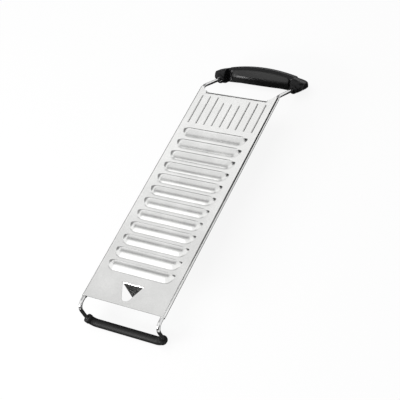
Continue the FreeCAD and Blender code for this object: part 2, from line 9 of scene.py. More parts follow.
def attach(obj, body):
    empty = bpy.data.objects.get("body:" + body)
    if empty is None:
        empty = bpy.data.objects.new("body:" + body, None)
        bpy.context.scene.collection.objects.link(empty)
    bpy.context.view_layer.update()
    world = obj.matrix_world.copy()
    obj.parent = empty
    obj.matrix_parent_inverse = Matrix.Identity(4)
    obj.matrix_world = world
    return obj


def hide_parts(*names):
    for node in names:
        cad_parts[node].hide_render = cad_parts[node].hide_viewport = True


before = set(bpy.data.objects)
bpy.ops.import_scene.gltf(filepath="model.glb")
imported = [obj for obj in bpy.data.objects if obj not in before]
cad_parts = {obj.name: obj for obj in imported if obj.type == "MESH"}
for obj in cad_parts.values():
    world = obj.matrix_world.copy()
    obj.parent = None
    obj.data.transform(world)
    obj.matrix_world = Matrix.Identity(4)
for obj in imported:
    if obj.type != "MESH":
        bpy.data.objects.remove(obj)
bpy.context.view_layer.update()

bl_info = {
    "name": "Hand slicer",
    "version": (1, 0, 0),
    "blender": (4, 5, 0),
    "location": "View3D > Sidebar > Slicer",
    "description": "Builds the looks of a hand-held slicing plate with a wire frame and a bow handle",
    "category": "Object",
}

MM = 0.001
ROOT = "root"

# Sizes are in mm and follow the CAD, and turns are in radians.

# The plate lies a little tilted on the table, between its foot and its handle.
# Plate frame, in mm: X across, Y from the lower edge towards the handle, Z out of the cutting side.
TILT = radians(0.675)
PLATE_LIFT = 36.753
PLATE_SHIFT = -171.155

# Handle frame, in mm: Y out along the sloping wire ends, Z square to them
HANDLE_START = 303.0
HANDLE_SLOPE = radians(35.8)

# The curled sides hold the wire, whose centre line lies this deep and this far out
SHEET = 0.6
CURL_RADIUS = 2.7
CURL_END = radians(325)
LEG_SIDE = 49.3
LEG_DEPTH = 2.7
CURL_TOP = 300.0

# Louvers
LOUVER_COUNT = 12
LOUVER_PITCH = 17.0
FIRST_LIP = 48.8
LOUVER_HALF = 42.0
LOUVER_END = 10.5
HOOD_RADIUS = 25.0
FOLD_SOFTNESS = 0.5
GROUND_WIDTH = 0.9
GROUND_DROP = 0.35
# Distances behind a lip and beyond it at which the sheet has a row of points
HOOD_ROWS = (12.6, 12.2, 11.8, 11.3, 10.6, 9.6, 8.4, 7.0, 5.5, 4.0, 2.7, 1.7, GROUND_WIDTH, 0.0)
LAND_ROWS = (1.5, 3.2)
HOOD_CLEARANCE = 13.0

# Ribs
RIB_COUNT = 9
SHORT_RIBS = 3
RIB_PITCH = 10.44
RIB_START = 243.8
RIB_TOP = 286.6
SHORT_RIB_TOP = 279.3
RIB_CREST = 0.15
# Distances from a rib's middle line and from its ends at which the sheet has points
RIB_COLUMNS = (-1.1, -0.8, -0.5, -0.25, 0.0, 0.25, 0.5, 0.8, 1.1)
RIB_ROWS = (-0.1, 0.15, 0.4, 0.7, 1.1, 1.8)

# Hem and the corners beside it
HEM_LINE = 294.0
HEM_RADIUS = 4.0
HEM_FLANGE = 2.0
HEM_FROM = 289.0
HEM_HALF = 38.6
CORNER_RADIUS = 8.0
HEM_FADE_IN = 1.5
HEM_FADE_OUT = 2.5

# Triangular opening
OPENING_TOP = 27.2
OPENING_HALF = 13.9
OPENING_TIP = 5.6
TIP_RADIUS = 6.0
TONGUE_TURN = radians(70)
TONGUE_BEND = 1.6
TONGUE_GAP = 0.3
TONGUE_ROOT = 0.5
ROOT_SINK = 0.03

# Wire
FOOT_REACH = 13.2
FOOT_DROP = 32.0
FOOT_BEND = 8.0
FOOT_CORNER = 12.0
HANDLE_BEND = 12.0
WIRE_ENTRY = 56.0

# Foot sleeve
SLEEVE_RADIUS = 4.6
SLEEVE_TURN = radians(68)
SLEEVE_BORE = 2.15
COLLAR_RISE = 0.55
COLLAR_FULL = 4.2
COLLAR_LENGTH = 5.2
MOUTH_ROUND = 1.2

# Bow handle. Its end is a superellipse in plan, and its front steps back from the lobes to the grip.
BOW_HALF = 60.5
BOW_MIDDLE = 50.0
LOBE_ROUND = 12.0
PLAN_POWER = 3.2
KEEL_RUN = 14.0
KEEL_RADIUS = 17.0
LOBE_SHOULDER = 1.0
SHOULDER_POWER = 1.5
LEAST_THICKNESS = 2.0
LEAST_ROOM = 0.05
BOW_CROWN = 16.6
BOW_ARCH = 200.0
BOW_SOLE = -5.4
SOLE_LIFT = 1.0
SOLE_HALF = 40.0
PARTING = 1.5
PARTING_GROOVE = 0.3
UPPER_EDGE = 9.0
LOWER_EDGE = 5.0
GRIP_EDGE = 3.0
LOBE_INNER = 44.5
LOBE_EDGE = 1.6
GRIP_SETBACK = 10.5
GRIP_FRONT = 48.5
# The most of a shell's height and of its depth that one rounded edge may take
ROUND_HEIGHT_SHARE = 0.98
ROUND_DEPTH_SHARE = 0.45

# Collar round the wire: place along the wire and radius, from the lobe's inside out and into the bore
BOSS_PROFILE = ((39.5, 5.2), (38.2, 5.2), (37.5, 5.0), (36.9, 4.5),
                (36.5, 3.9), (36.3, 3.2), (36.3, 2.2), (37.5, 2.15))

# Grip pad
PAD_HALF = 39.0
PAD_BOTTOM = -4.0
PAD_FOOT = 2.0
PAD_RIDGE = 4.5
PAD_CROWN = 4.5
PAD_SEAM = 2.4
PAD_EDGE = 1.5
PAD_BOW = 500.0
PAD_CORNER = 3.0
PAD_SINK = 0.1
PAD_LEAST = 0.15
RIDGE_ROUND = 2.4
RIDGE_DROP = 0.45
EDGE_ROUND = 0.9
EDGE_POWER = 2.5

# Sides of the round sections, and steps along the curved ones
WIRE_SIDES = 28
SLEEVE_SIDES = 36
BOSS_SIDES = 32
CURL_STEPS = 15
TIP_STEPS = 16
EDGE_STEPS = 9
PAD_STEPS = 40
TONGUE_COLUMNS = 13

# Edges sharper than these, in degrees, stay crisp when a piece is shaded
SHEET_SHARP = 38
SHELL_SHARP = 40
SLEEVE_SHARP = 45
COLLAR_SHARP = 50
PAD_SHARP = 50
WIRE_SHARP = 60


def plate_point(x, y, z):
    """A point of the plate frame, in mm, as a point of the row frame, in metres."""
    along = y * cos(TILT) - z * sin(TILT) + PLATE_SHIFT
    up = y * sin(TILT) + z * cos(TILT) + PLATE_LIFT
    return Vector((x, along, up)) * MM


def handle_point(x, y, z):
    """A point of the handle frame, in mm, as a point of the row frame, in metres."""
    out = y * cos(HANDLE_SLOPE) + z * sin(HANDLE_SLOPE)
    up = z * cos(HANDLE_SLOPE) - y * sin(HANDLE_SLOPE)
    return plate_point(x, HANDLE_START + out, up - LEG_DEPTH)


def smooth_step(low, high, value):
    """0 below low, 1 above high and a smooth rise between them."""
    share = min(max((value - low) / (high - low), 0.0), 1.0)
    return share * share * (3 - 2 * share)


def spread(low, high, step):
    """Evenly spaced values from low to high, both included, about a step apart."""
    count = max(1, ceil((high - low) / step))
    return [low + (high - low) * i / count for i in range(count + 1)]


# Meshes


def new_piece(name, points, faces, material, sharp=35):
    """A mesh object with smooth shading that breaks at edges sharper than the angle in degrees."""
    mesh = bpy.data.meshes.new(name)
    mesh.from_pydata([tuple(p) for p in points], [], faces)
    work = bmesh.new()
    work.from_mesh(mesh)
    bmesh.ops.remove_doubles(work, verts=work.verts, dist=1e-6)
    bmesh.ops.dissolve_degenerate(work, dist=1e-7, edges=work.edges)
    bmesh.ops.recalc_face_normals(work, faces=work.faces)
    work.to_mesh(mesh)
    work.free()
    piece = bpy.data.objects.new(name, mesh)
    bpy.context.collection.objects.link(piece)
    mesh.materials.append(material)
    shade(piece, sharp)
    return piece


def shade(piece, sharp):
    """Smooth shading that breaks at edges sharper than the angle in degrees."""
    piece.data.shade_smooth()
    piece.data.set_sharp_from_angle(angle=radians(sharp))


def settle(piece):
    """Puts the result of the piece's modifiers into its mesh."""
    graph = bpy.context.evaluated_depsgraph_get()
    mesh = bpy.data.meshes.new_from_object(piece.evaluated_get(graph))
    piece.modifiers.clear()
    piece.data = mesh
    return piece


def join(piece, others):
    """Adds the other objects' meshes to the piece's mesh, and removes those objects."""
    work = bmesh.new()
    work.from_mesh(piece.data)
    for other in others:
        work.from_mesh(other.data)
        bpy.data.objects.remove(other)
    work.to_mesh(piece.data)
    work.free()


def grid_faces(rows, columns, closed=False):
    """Quads between the rows of a grid whose points are listed row by row."""
    faces = []
    across = columns if closed else columns - 1
    for r in range(rows - 1):
        for c in range(across):
            d = (c + 1) % columns
            near, far = r * columns, (r + 1) * columns
            faces.append((near + c, near + d, far + d, far + c))
    return faces


def loft(name, rings, material, sharp=35):
    """A closed skin through rings of equally many points, with flat ends."""
    points = [p for ring in rings for p in ring]
    count = len(rings[0])
    faces = grid_faces(len(rings), count, closed=True)
    faces.append(tuple(range(count - 1, -1, -1)))
    faces.append(tuple(range((len(rings) - 1) * count, len(rings) * count)))
    return new_piece(name, points, faces, material, sharp)


def tube_rings(path, radii, sides):
    """Rings of points round a path; each ring stands square to the path and doesn't twist."""
    rings = []
    count = len(path)
    normal = None
    for i, (point, radius) in enumerate(zip(path, radii)):
        ahead = path[min(i + 1, count - 1)] - path[i]
        behind = path[i] - path[max(i - 1, 0)]
        tangent = (ahead.normalized() + behind.normalized()).normalized()
        if normal is None:
            normal = tangent.orthogonal().normalized()
        normal = (normal - tangent * normal.dot(tangent)).normalized()
        other = tangent.cross(normal)
        rings.append([point + (normal * cos(a) + other * sin(a)) * radius
                      for a in (2 * pi * k / sides for k in range(sides))])
    return rings


def arc_points(centre, start, towards, turn, steps):
    """Points on an arc from centre + start, turning towards the other radius."""
    turns = [turn * i / steps for i in range(steps + 1)]
    return [centre + start * cos(a) + towards * sin(a) for a in turns]


# Shader maths


class Value:
    """A socket of a node tree that adds Math nodes when it is used in an expression."""

    def __init__(self, tree, socket):
        self.tree = tree
        self.socket = socket

    def maths(self, operation, first, second=None):
        node = self.tree.nodes.new("ShaderNodeMath")
        node.operation = operation
        for slot, value in zip(node.inputs, (first, second)):
            if isinstance(value, Value):
                self.tree.links.new(value.socket, slot)
            elif value is not None:
                slot.default_value = value
        return Value(self.tree, node.outputs[0])

    def __add__(self, other):
        return self.maths("ADD", self, other)

    def __radd__(self, other):
        return self.maths("ADD", other, self)

    def __sub__(self, other):
        return self.maths("SUBTRACT", self, other)

    def __rsub__(self, other):
        return self.maths("SUBTRACT", other, self)

    def __mul__(self, other):
        return self.maths("MULTIPLY", self, other)

    def __rmul__(self, other):
        return self.maths("MULTIPLY", other, self)

    def clamped(self, low=0.0, high=1.0):
        return self.maths("MINIMUM", self.maths("MAXIMUM", self, low), high)


class Finish:
    """A material under construction, and the one way to add a node to it."""

    def __init__(self, tree):
        self.tree = tree
        self.tree.nodes.clear()

    def add(self, kind, settings=None, inputs=None, output=0):
        """A node with its settings and input values or links; returns one of its outputs."""
        node = self.tree.nodes.new(kind)
        for key, value in (settings or {}).items():
            setattr(node, key, value)
        for key, value in (inputs or {}).items():
            if isinstance(value, Value):
                self.tree.links.new(value.socket, node.inputs[key])
            else:
                node.inputs[key].default_value = value
        return Value(self.tree, node.outputs[output])

    def place(self):
        """The point of the surface in the object's own space, in metres."""
        return self.add("ShaderNodeTexCoord", output="Object")

    def noise(self, scale, stretch=(1, 1, 1), detail=3.0):
        """Noise of about 0 to 1; stretch holds how much finer it is along each axis."""
        spot = self.add("ShaderNodeVectorMath", {"operation": "MULTIPLY"}, {0: self.place(), 1: stretch})
        return self.add("ShaderNodeTexNoise", None, {"Vector": spot, "Scale": scale, "Detail": detail})

    def mix(self, share, first, second):
        """A colour between two colours."""
        inputs = {0: share, 6: first, 7: second}
        return self.add("ShaderNodeMix", {"data_type": "RGBA"}, inputs, output=2)

    def bump(self, height, strength, distance):
        """A normal for a height of 0 to 1, with the height of 1 given in metres."""
        inputs = {"Height": height, "Strength": strength, "Distance": distance}
        return self.add("ShaderNodeBump", None, inputs)


def new_finish(name):
    material = bpy.data.materials.new(name)
    material.use_nodes = True
    return material, Finish(material.node_tree)


def surface(finish, shader, kind="ShaderNodeOutputMaterial"):
    """Links a shader to the output of its material or world."""
    output = finish.tree.nodes.new(kind)
    finish.tree.links.new(shader.socket, output.inputs["Surface"])


def close(finish, **inputs):
    """The Principled surface of a material, with its inputs by name."""
    named = {key.replace("_", " "): value for key, value in inputs.items()}
    surface(finish, finish.add("ShaderNodeBsdfPrincipled", None, named))


def colour(value, level=1.0):
    """An opaque colour, brighter or darker by a factor and never above 1."""
    return (*(min(part * level, 1.0) for part in value), 1.0)


def steel_sheet(look):
    """Bright rolled sheet with fine lengthwise grain, cloudy stains and scuffs from use."""
    material, finish = new_finish("stainless_sheet")
    grain = finish.noise(420.0, stretch=(6.0, 0.25, 6.0), detail=4.0)
    cloud = finish.noise(34.0, detail=4.0)
    speckle = finish.noise(700.0, stretch=(1, 0.6, 1), detail=2.0)
    scuff = finish.noise(160.0, stretch=(0.5, 3.0, 0.5), detail=3.0)
    stain = ((cloud - 0.42) * 3.0).clamped()
    worn = (stain * 0.55 + grain * 0.25 + speckle * 0.4).clamped()
    tone = finish.mix(worn, colour(look.steel, 0.84), colour(look.steel, 1.04))
    rough = look.steel_roughness * (0.7 + 0.5 * grain + 0.3 * stain)
    height = grain * 0.5 + scuff * 0.2 + speckle * 0.3
    close(finish, Base_Color=tone, Metallic=1.0, Roughness=rough,
          Normal=finish.bump(height, strength=0.12, distance=0.0004))
    return material


def steel_wire(look):
    """Polished drawn wire with faint marks round it."""
    material, finish = new_finish("stainless_wire")
    cloud = finish.noise(60.0, detail=2.0)
    marks = finish.noise(500.0, stretch=(2, 0.3, 2), detail=3.0)
    tone = finish.mix(cloud, colour(look.wire, 0.92), colour(look.wire))
    rough = look.wire_roughness * (0.7 + 0.6 * marks)
    close(finish, Base_Color=tone, Metallic=1.0, Roughness=rough,
          Normal=finish.bump(marks, strength=0.04, distance=0.0003))
    return material


def moulded(name, tint, roughness, grain_scale, grain_depth, gloss):
    """A moulded black surface with its spark-eroded grain and slightly worn, lighter patches."""
    material, finish = new_finish(name)
    grain = finish.noise(grain_scale, detail=2.0)
    cloud = finish.noise(45.0, detail=3.0)
    tone = finish.mix(cloud, colour(tint, 0.8), colour(tint, 1.25))
    rough = roughness * (0.85 + 0.3 * cloud)
    close(finish, Base_Color=tone, Roughness=rough, Specular_IOR_Level=gloss,
          Normal=finish.bump(grain, strength=0.25, distance=grain_depth))
    return material


# Slicing plate


def hood_height(x, back, lip_height):
    """Height of a louver over the sheet at x and at a distance back from its lip."""
    straight = LOUVER_HALF - LOUVER_END
    reach = sqrt(HOOD_RADIUS ** 2 - (HOOD_RADIUS - lip_height) ** 2)
    beside = max(abs(x) - straight, 0.0) / LOUVER_END * reach
    # Far from the hood the height is below the sheet, and only has to stay a real number
    away = min(hypot(back, beside), HOOD_RADIUS * 0.99)
    height = sqrt(HOOD_RADIUS ** 2 - away ** 2) - HOOD_RADIUS + lip_height
    # The fold is a small fillet, not a crease
    nearness = max(FOLD_SOFTNESS - abs(height), 0.0) / FOLD_SOFTNESS
    return max(height, 0.0) + nearness ** 2 * FOLD_SOFTNESS / 4


def rib_profile(x, y, rib_height, rib_half):
    """Height of the nearest rib at a point of the sheet."""
    number = round(x / RIB_PITCH)
    if abs(number) > (RIB_COUNT - 1) / 2:
        return 0.0
    top = SHORT_RIB_TOP if abs(number) <= (SHORT_RIBS - 1) / 2 else RIB_TOP
    beside = x - number * RIB_PITCH
    along = max(RIB_START + rib_half - y, y - top + rib_half, 0.0)
    away = hypot(beside, along) / rib_half
    return rib_height * (1 - smooth_step(RIB_CREST, 1.0, away))


def sheet_columns():
    """Stations across the sheet and round both curls: X, Z and whether the place is on the flat."""
    left = []
    for i in range(CURL_STEPS):
        a = CURL_END + (pi / 2 - CURL_END) * i / CURL_STEPS
        left.append((-LEG_SIDE + CURL_RADIUS * cos(a), -LEG_DEPTH + CURL_RADIUS * sin(a), False))
    across = set(round(x, 4) for x in spread(-LEG_SIDE, LEG_SIDE, 1.25))
    for k in range(RIB_COUNT):
        middle = (k - (RIB_COUNT - 1) / 2) * RIB_PITCH
        across |= {round(middle + offset, 4) for offset in RIB_COLUMNS}
    straight = LOUVER_HALF - LOUVER_END
    ends = [straight + LOUVER_END * sin(radians(d)) for d in range(0, 91, 10)]
    across |= {round(sign * x, 4) for x in ends for sign in (-1, 1)}
    flat = [(x, 0.0, True) for x in sorted(across)]
    # Stations that nearly meet would make slivers
    kept = [flat[0]]
    for station in flat[1:]:
        if station[0] - kept[-1][0] > 0.08:
            kept.append(station)
    right = [(-x, z, on) for x, z, on in reversed(left)]
    return left + kept + right


def sheet_rows():
    """Stations up the sheet: Y, the lip of the louver there or None, and whether it is raised."""
    rows = [(y, None, False) for y in spread(0.0, FIRST_LIP - HOOD_CLEARANCE, 3.0)]
    for k in range(LOUVER_COUNT):
        lip = FIRST_LIP + k * LOUVER_PITCH
        rows += [(lip - back, lip, True) for back in HOOD_ROWS]
        rows.append((lip, lip, False))
        rows += [(lip + ahead, None, False) for ahead in LAND_ROWS]
    last = FIRST_LIP + (LOUVER_COUNT - 1) * LOUVER_PITCH
    plain = [last + 5.0, RIB_START - 0.6]
    plain += [RIB_START + offset for offset in RIB_ROWS]
    plain += spread(RIB_START + 5, SHORT_RIB_TOP - 4, 6.0)
    for top in (SHORT_RIB_TOP, RIB_TOP):
        plain += [top - offset for offset in reversed(RIB_ROWS)]
    plain.append(HEM_FROM - 0.9)
    return rows + [(y, None, False) for y in plain]


def hem_point(x, share):
    """A point of the sheet's handle end; share runs from the last flat row to the free edge."""
    beside = abs(x)
    if beside <= HEM_HALF:
        edge = HEM_LINE
    else:
        inward = min(beside - HEM_HALF, CORNER_RADIUS)
        edge = HEM_LINE + CORNER_RADIUS - sqrt(CORNER_RADIUS ** 2 - inward ** 2)
    edge = min(edge, CURL_TOP)
    flat_y, flat_z = HEM_FROM + (edge - HEM_FROM) * share, 0.0
    run = HEM_LINE - HEM_RADIUS - HEM_FROM
    total = run + HEM_RADIUS * pi / 2 + HEM_FLANGE
    length = total * share
    turn = min(max((length - run) / HEM_RADIUS, 0.0), pi / 2)
    bent_y = HEM_FROM + min(length, run) + HEM_RADIUS * sin(turn)
    bent_z = -HEM_RADIUS * (1 - cos(turn)) - max(length - run - HEM_RADIUS * pi / 2, 0.0)
    flat = smooth_step(HEM_HALF - HEM_FADE_IN, HEM_HALF + HEM_FADE_OUT, beside)
    return bent_y + (flat_y - bent_y) * flat, bent_z + (flat_z - bent_z) * flat


def opening_half(y):
    """Half the width of the triangular opening at a height of the plate."""
    centre = OPENING_TIP + TIP_RADIUS
    if y > centre - TIP_RADIUS * sin(side_lean()):
        return OPENING_HALF - (OPENING_TOP - y) * tan(side_lean())
    return sqrt(max(TIP_RADIUS ** 2 - (y - centre) ** 2, 0.0))


def side_lean():
    """Angle between the opening's side and the plate's length."""
    centre = OPENING_TIP + TIP_RADIUS
    rise = OPENING_TOP - centre
    return atan2(OPENING_HALF, rise) - asin(TIP_RADIUS / hypot(OPENING_HALF, rise))


def opening_outline():
    """Points round the opening, in the plate frame."""
    centre = OPENING_TIP + TIP_RADIUS
    lean = side_lean()
    right = [(OPENING_HALF, OPENING_TOP)]
    for i in range(TIP_STEPS + 1):
        a = -lean + (lean - pi / 2) * i / TIP_STEPS
        right.append((TIP_RADIUS * cos(a), centre + TIP_RADIUS * sin(a)))
    left = [(-x, y) for x, y in reversed(right[:-1])]
    return right + left


def build_sheet(props, material):
    """The sheet with its curls, louvers, ribs and hem, as one skin without thickness."""
    columns = sheet_columns()
    rows = sheet_rows()
    grid = []
    for y, lip, raised in rows:
        line = []
        for x, z, flat in columns:
            if flat and lip is not None and raised:
                back = lip - y
                z = hood_height(x, back, props.lip_height)
                z -= min(z, GROUND_DROP) * (1 - min(back / GROUND_WIDTH, 1.0))
            elif flat and RIB_START - 1 < y < RIB_TOP + 1:
                z = rib_profile(x, y, props.rib_height, props.rib_width / 2)
            line.append(plate_point(x, y, z))
        grid.append(line)
    for share in spread(0.0, 1.0, 0.06):
        line = []
        for x, z, flat in columns:
            if flat:
                y, z = hem_point(x, share)
            else:
                y = HEM_FROM + (CURL_TOP - HEM_FROM) * share
            line.append(plate_point(x, y, z))
        grid.append(line)
    points = [p for line in grid for p in line]
    width = len(columns)
    faces = []
    for r in range(len(grid) - 1):
        # The step between a raised lip and the land behind it is an open slot
        slot = r + 1 < len(rows) and rows[r][1] is not None and rows[r][2] and not rows[r + 1][2]
        if not slot:
            near, far = r * width, (r + 1) * width
            faces += [(near + c, near + c + 1, far + c + 1, far + c) for c in range(width - 1)]
    return new_piece("slicing_plate_skin", points, faces, material)


def thicken(piece, thickness):
    """Gives a skin its thickness on the inner side and puts the result into its mesh."""
    solid = piece.modifiers.new("thickness", "SOLIDIFY")
    solid.thickness = thickness * MM
    solid.offset = -1.0
    solid.use_even_offset = True
    settle(piece)
    return piece


def face_up(piece):
    """Turns the skin's faces so that the flat middle of the sheet faces out of the cutting side."""
    up = plate_point(0, 0, 1) - plate_point(0, 0, 0)
    total = sum((p.normal.dot(up) * p.area for p in piece.data.polygons), 0.0)
    if total < 0:
        piece.data.flip_normals()
    return piece


def cut_opening(piece, material):
    """Cuts the triangular opening through the sheet."""
    outline = opening_outline()
    rings = [[plate_point(x, y, z) for x, y in outline] for z in (4.0, -4.0)]
    cutter = loft("opening_cutter", rings, material)
    hole = piece.modifiers.new("opening", "BOOLEAN")
    hole.operation = "DIFFERENCE"
    hole.solver = "EXACT"
    hole.object = cutter
    settle(piece)
    bpy.data.objects.remove(cutter)
    return piece


def build_tongue(material):
    """The flap of the opening, bent down about its top edge."""
    length = OPENING_TOP - OPENING_TIP - TONGUE_GAP
    arc = TONGUE_BEND * TONGUE_TURN
    points = []
    stations = [-TONGUE_ROOT] + [i / 6 * arc for i in range(6)] + spread(arc, length - 0.8, 1.4)
    stations += [length - 0.35, length - 0.08]
    for s in stations:
        if s < 0:
            y, z = OPENING_TOP - s, 0.0
        elif s < arc:
            turn = s / TONGUE_BEND
            y = OPENING_TOP - TONGUE_BEND * sin(turn)
            z = -TONGUE_BEND * (1 - cos(turn))
        else:
            y = OPENING_TOP - TONGUE_BEND * sin(TONGUE_TURN) - (s - arc) * cos(TONGUE_TURN)
            z = -TONGUE_BEND * (1 - cos(TONGUE_TURN)) - (s - arc) * sin(TONGUE_TURN)
        half = max(opening_half(OPENING_TOP - s) - TONGUE_GAP, 0.05)
        for k in range(TONGUE_COLUMNS):
            points.append(plate_point(half * (2 * k / (TONGUE_COLUMNS - 1) - 1), y, z - ROOT_SINK))
    flap = new_piece("tongue_skin", points, grid_faces(len(stations), TONGUE_COLUMNS), material)
    return thicken(face_up(flap), SHEET)


def finished(piece, name, slot, *nodes):
    """Names a piece, lets it ride on the body, and lets it stand for its CAD nodes."""
    piece.name = name
    piece.data.name = name
    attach(piece, ROOT)
    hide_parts(*nodes)


# Wire frame and foot


def wire_path():
    """The centre line of the wire, from the left end in the handle round the foot to the right end."""
    bend_run = HANDLE_BEND * tan(HANDLE_SLOPE / 2)
    down = Vector((0, 0, -1))
    up = Vector((0, 0, 1))
    along = Vector((0, 1, 0))
    slope = Vector((0, cos(HANDLE_SLOPE), -sin(HANDLE_SLOPE)))
    half = []
    side = Vector((-LEG_SIDE, 0, 0))
    start = side + Vector((0, HANDLE_START, -LEG_DEPTH))
    half += [start + slope * d for d in spread(WIRE_ENTRY, bend_run, 6.0)][:-1]
    centre = side + Vector((0, HANDLE_START - bend_run, -LEG_DEPTH - HANDLE_BEND))
    turn = arc_points(centre, up * HANDLE_BEND, along * HANDLE_BEND, HANDLE_SLOPE, 8)
    half += turn[::-1]
    foot_start = FOOT_BEND - FOOT_REACH
    leg = reversed(spread(foot_start, turn[0].y, 12.0))
    half += [side + Vector((0, y, -LEG_DEPTH)) for y in leg][1:-1]
    centre = side + Vector((0, foot_start, -LEG_DEPTH - FOOT_BEND))
    half += arc_points(centre, up * FOOT_BEND, -along * FOOT_BEND, pi / 2, 10)
    corner_top = -FOOT_DROP + FOOT_CORNER
    half += [side + Vector((0, -FOOT_REACH, (-LEG_DEPTH - FOOT_BEND + corner_top) / 2))]
    centre = Vector((-LEG_SIDE + FOOT_CORNER, -FOOT_REACH, corner_top))
    half += arc_points(centre, Vector((-FOOT_CORNER, 0, 0)), down * FOOT_CORNER, pi / 2, 12)
    cross = LEG_SIDE - FOOT_CORNER
    half += [Vector((x, -FOOT_REACH, -FOOT_DROP)) for x in spread(-cross, 0.0, 9.0)][1:]
    other = [Vector((-p.x, p.y, p.z)) for p in reversed(half[:-1])]
    return half + other


def build_wire(props, material):
    """The wire as one round bar along its centre line."""
    path = [plate_point(*p) for p in wire_path()]
    rings = tube_rings(path, [props.wire_radius * MM] * len(path), WIRE_SIDES)
    return loft("wire", rings, material, WIRE_SHARP)


def sleeve_path():
    """The centre line of the rubber sleeve, from its left mouth to its right mouth."""
    cross = LEG_SIDE - FOOT_CORNER
    centre = Vector((-cross, -FOOT_REACH, -FOOT_DROP + FOOT_CORNER))
    down = Vector((0, 0, -FOOT_CORNER))
    outward = Vector((-FOOT_CORNER, 0, 0))
    turn = arc_points(centre, down, outward, SLEEVE_TURN, 24)
    half = turn[::-1] + [Vector((x, -FOOT_REACH, -FOOT_DROP)) for x in spread(-cross, 0.0, 3.0)][1:]
    return half + [Vector((-p.x, p.y, p.z)) for p in reversed(half[:-1])]


def build_sleeve(material):
    """A thick rubber tube whose mouths have a rounded collar and open round the wire."""
    path = [plate_point(*p) for p in sleeve_path()]
    lengths = [0.0]
    for a, b in zip(path, path[1:]):
        lengths.append(lengths[-1] + (b - a).length / MM)
    total = lengths[-1]
    radii = []
    for run in lengths:
        mouth = min(run, total - run)
        collar = 0.0
        if mouth < COLLAR_LENGTH:
            collar = COLLAR_RISE * smooth_step(COLLAR_LENGTH, COLLAR_FULL, mouth)
        rounding = 0.0
        if mouth <= MOUTH_ROUND:
            rounding = MOUTH_ROUND - sqrt(max(MOUTH_ROUND ** 2 - (MOUTH_ROUND - mouth) ** 2, 0.0))
        radii.append((SLEEVE_RADIUS + collar - rounding) * MM)
    rings = tube_rings(path, radii, SLEEVE_SIDES)
    throat = tube_rings(path, [SLEEVE_BORE * MM] * len(path), SLEEVE_SIDES)
    # The mouths turn in to the bore, which runs a little way inside
    rings = [throat[2], throat[0]] + rings + [throat[-1], throat[-3]]
    return loft("sleeve", rings, material, SLEEVE_SHARP)


# Bow handle


def bow_stations():
    """Places along the bow, closer together at its round ends and where the lobes step back."""
    turns = (0, 10, 20, 30, 40, 50, 60, 68, 75, 81, 86, 90)
    end = [BOW_HALF - LOBE_ROUND + LOBE_ROUND * sin(radians(a)) for a in turns]
    step = [LOBE_INNER + LOBE_EDGE * (1 - cos(radians(a))) for a in range(0, 91, 15)]
    half = spread(0.0, LOBE_INNER - 1.2, 3.0) + [LOBE_INNER - 0.5, LOBE_INNER - 0.03]
    half += step + [47.0] + end
    return [-x for x in reversed(half[1:])] + half


def lobe_share(x):
    """0 on the grip and 1 on a lobe, with a small round where the lobe's front begins."""
    inward = abs(x) - LOBE_INNER
    if inward < 0:
        return 0.0
    rise = min(inward / LOBE_EDGE, 1.0)
    return 1 - LOBE_EDGE / GRIP_SETBACK * (1 - sqrt(1 - (1 - rise) ** 2))


def bow_section(x):
    """Front, back, top and bottom of the bow at a place along it, in the handle frame."""
    end = max((abs(x) - BOW_HALF + LOBE_ROUND) / LOBE_ROUND, 0.0)
    plan = max(1 - end ** PLAN_POWER, 0.0) ** (1 / PLAN_POWER)
    front = BOW_MIDDLE - LOBE_ROUND * plan
    back = BOW_MIDDLE + LOBE_ROUND * plan
    front += GRIP_SETBACK * (1 - lobe_share(x))
    top = BOW_CROWN - BOW_ARCH + sqrt(BOW_ARCH ** 2 - x ** 2)
    bottom = BOW_SOLE + SOLE_LIFT * max(1 - (x / SOLE_HALF) ** 2, 0.0)
    outward = max(abs(x) - BOW_HALF + KEEL_RUN, 0.0)
    bottom += KEEL_RADIUS - sqrt(KEEL_RADIUS ** 2 - outward ** 2)
    top -= LOBE_SHOULDER * (1 - plan) ** SHOULDER_POWER
    return front, back, top, min(bottom, top - LEAST_THICKNESS)


def corner_arc(centre_y, centre_z, radius_y, radius_z, first, last):
    """Points on a rounded corner of the section, from one angle to another in degrees."""
    angles = [radians(first + (last - first) * i / EDGE_STEPS) for i in range(EDGE_STEPS + 1)]
    return [(centre_y + radius_y * cos(a), centre_z + radius_z * sin(a)) for a in angles]


def bow_ring(x, upper):
    """One closed section of the upper or the lower shell, cut flat where it stands on the table."""
    front, back, top, bottom = bow_section(x)
    depth = back - front
    share = min(depth / (2 * LOBE_ROUND), 1.0)
    gap = PARTING_GROOVE / 2
    lobe = lobe_share(x)
    if upper:
        level = max(PARTING + gap, bottom)
        room = max(top - level, LEAST_ROOM)
        outer = UPPER_EDGE
        edge = 1
    else:
        level = PARTING - gap
        room = max(level - bottom, LEAST_ROOM)
        bottom = min(bottom, level - LEAST_ROOM)
        outer = LOWER_EDGE
        edge = -1
    back_round = min(outer, room * ROUND_HEIGHT_SHARE)
    front_round = min(GRIP_EDGE + (outer - GRIP_EDGE) * lobe, room * ROUND_HEIGHT_SHARE)
    limit = top if upper else bottom
    front_y = min(front_round if lobe == 0 else front_round * share, depth * ROUND_DEPTH_SHARE)
    back_y = min(back_round * share + 0.01, depth * ROUND_DEPTH_SHARE)
    section = [(front, level)]
    section += corner_arc(front + front_y, limit - edge * front_round, front_y, front_round,
                          180, 180 - edge * 90)
    section += corner_arc(back - back_y, limit - edge * back_round, back_y, back_round,
                          edge * 90, 0)
    section.append((back, level))
    inset = min(PARTING_GROOVE * 1.2, depth * 0.2)
    seam = max(PARTING, level - gap) if upper else PARTING
    section += [(back - inset, seam), (front + inset, seam)]
    points = [handle_point(x, y, z) for y, z in section]
    return [Vector((p.x, p.y, max(p.z, 0.0))) for p in points]


